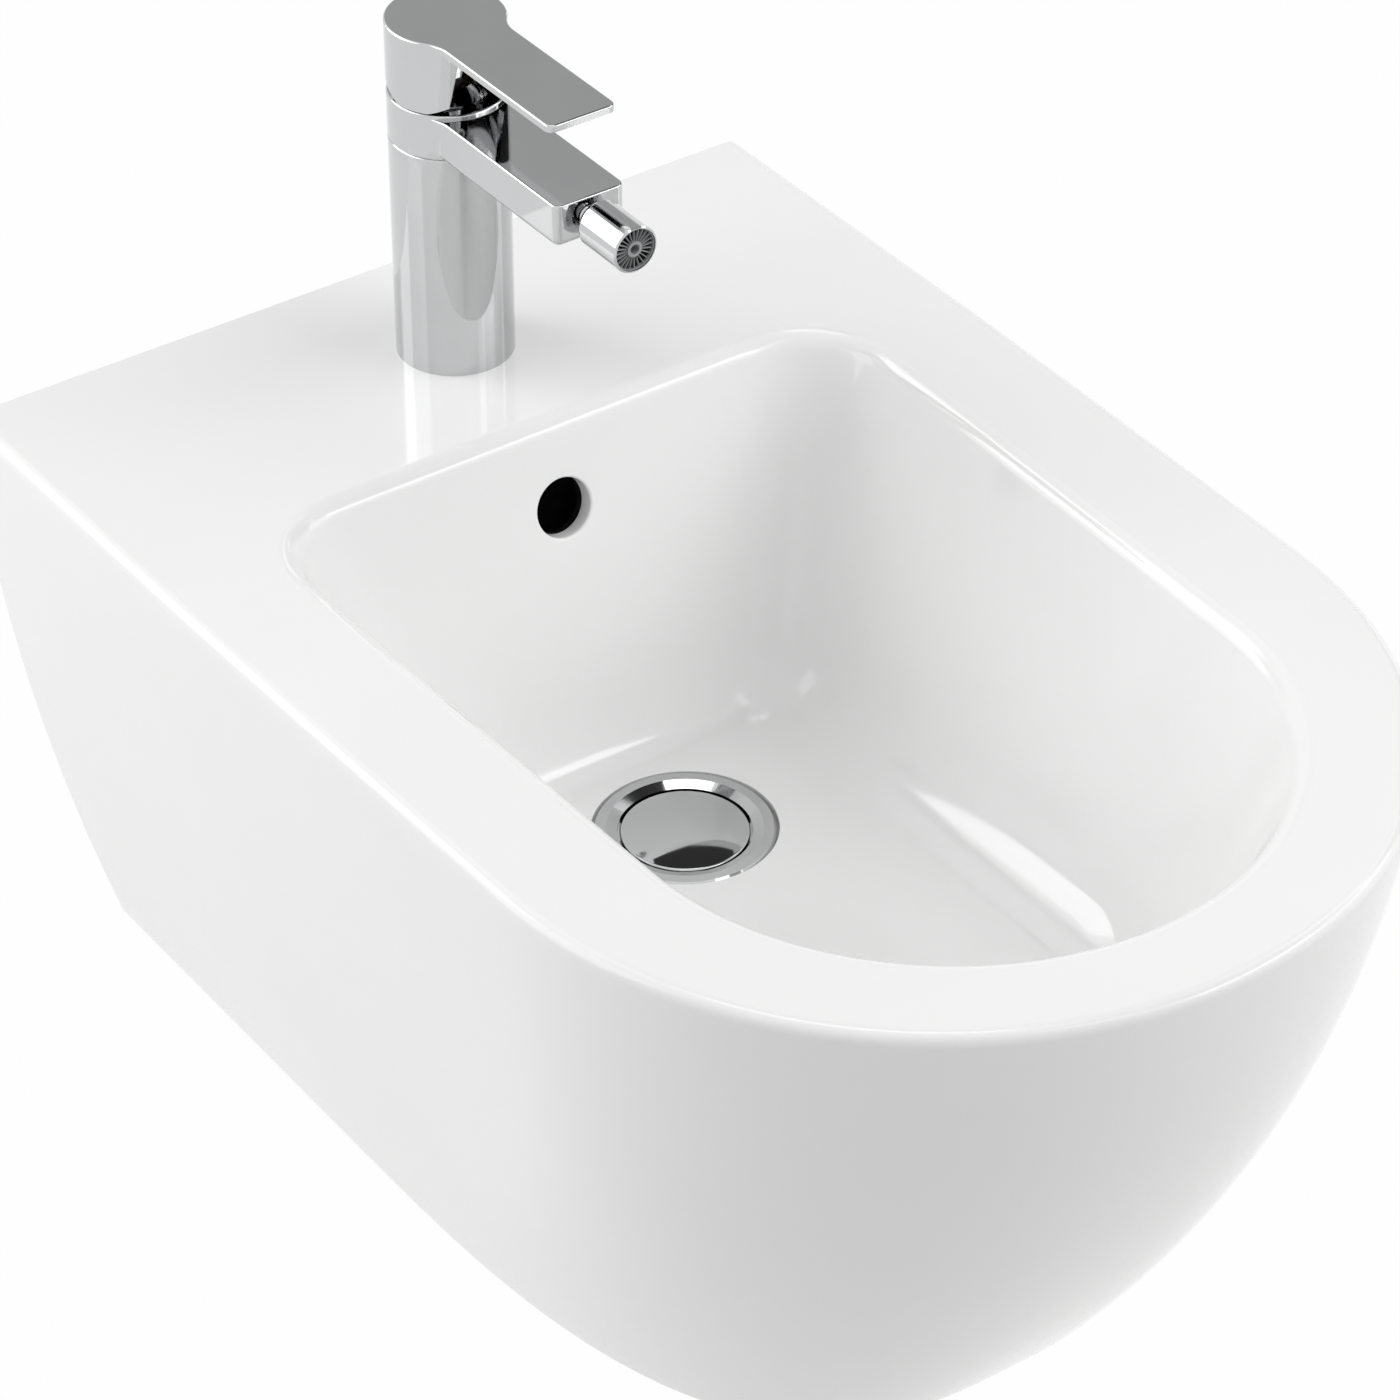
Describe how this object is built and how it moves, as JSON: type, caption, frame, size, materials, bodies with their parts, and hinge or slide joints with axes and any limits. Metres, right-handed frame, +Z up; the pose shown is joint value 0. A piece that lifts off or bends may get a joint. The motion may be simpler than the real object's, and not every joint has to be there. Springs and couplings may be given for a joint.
{
  "type": "bidet",
  "caption": "White wall-hung ceramic bidet with a chrome single-lever tap, a swivelling spout nozzle, an overflow hole and a push-open plug in its waste.",
  "frame": {"origin": "midway between the two wall fixings, on the face that sits against the wall", "axes": "+Y into the wall, so the front looks along -Y; +Z up; +X to the right seen from the front"},
  "size_m": [0.3744, 0.5583, 0.425],
  "materials": {
    "glazed_white": "glossy white glaze",
    "chrome": "polished",
    "brass": "turned",
    "steel": "zinc plated",
    "rubber": "matt",
    "white_plastic": "moulded",
    "grey_plastic": "moulded",
    "disc_ceramic": "lapped"
  },
  "bodies": {
    "base": {"ceramic_body": "glazed_white", "fixing_sleeve_left": "white_plastic", "fixing_washer_left": "steel", "fixing_nut_left": "steel", "fixing_sleeve_right": "white_plastic", "fixing_washer_right": "steel", "fixing_nut_right": "steel", "tap_column": "chrome", "tap_spout": "chrome", "trim_cap": "chrome", "nozzle_socket": "chrome", "waste_body": "chrome", "waste_locknut": "brass", "cartridge_nut": "brass", "stud_nut": "brass", "mounting_stud": "steel", "deck_washer": "steel", "base_gasket": "rubber", "deck_pad": "rubber", "cartridge_seal": "rubber", "socket_seal": "rubber", "waste_top_seal": "rubber", "waste_bottom_seal": "rubber", "cartridge_base": "grey_plastic", "cartridge_housing": "grey_plastic", "click_housing": "grey_plastic", "fixed_disc": "disc_ceramic"},
    "swivel": {"turret": "grey_plastic", "lever_pin": "steel"},
    "slider": {"disc_carrier": "grey_plastic", "moving_disc": "disc_ceramic"},
    "lever": {"lever_spindle": "steel", "lever_handle": "chrome", "handle_grub_screw": "steel"},
    "nozzle_ring": {"slip_ring": "white_plastic"},
    "nozzle": {"nozzle_barrel": "chrome", "aerator_insert": "grey_plastic"},
    "plug": {"plug_cap": "chrome", "plug_seal": "rubber", "plug_stem": "brass"}
  },
  "joints": [
    {"name": "handle_swivel", "type": "hinge", "parent": "base", "child": "swivel", "pos_m": [0, -0.0672, 0.187], "axis": [0, 0, 1], "range_deg": [-50, 50]},
    {"name": "lever_lift", "type": "hinge", "parent": "swivel", "child": "lever", "pos_m": [0, -0.0672, 0.187], "axis": [-1, 0, 0], "range_deg": [0, 18]},
    {"name": "disc_slide", "type": "slide", "parent": "swivel", "child": "slider", "axis": [0, -1, 0], "range_m": [0, 0.0041]},
    {"name": "nozzle_pan", "type": "hinge", "parent": "base", "child": "nozzle_ring", "pos_m": [0, -0.1614, 0.1882], "axis": [0, 0, 1], "range_deg": [-15, 15]},
    {"name": "nozzle_tilt", "type": "hinge", "parent": "nozzle_ring", "child": "nozzle", "pos_m": [0, -0.1614, 0.1882], "axis": [1, 0, 0], "range_deg": [-15, 15]},
    {"name": "plug_lift", "type": "slide", "parent": "base", "child": "plug", "axis": [0, 0, 1], "range_m": [0, 0.008]}
  ],
  "couplings": [
    {"joint": "disc_slide", "follows": "lever_lift", "m_per_rad": 0.013}
  ]
}
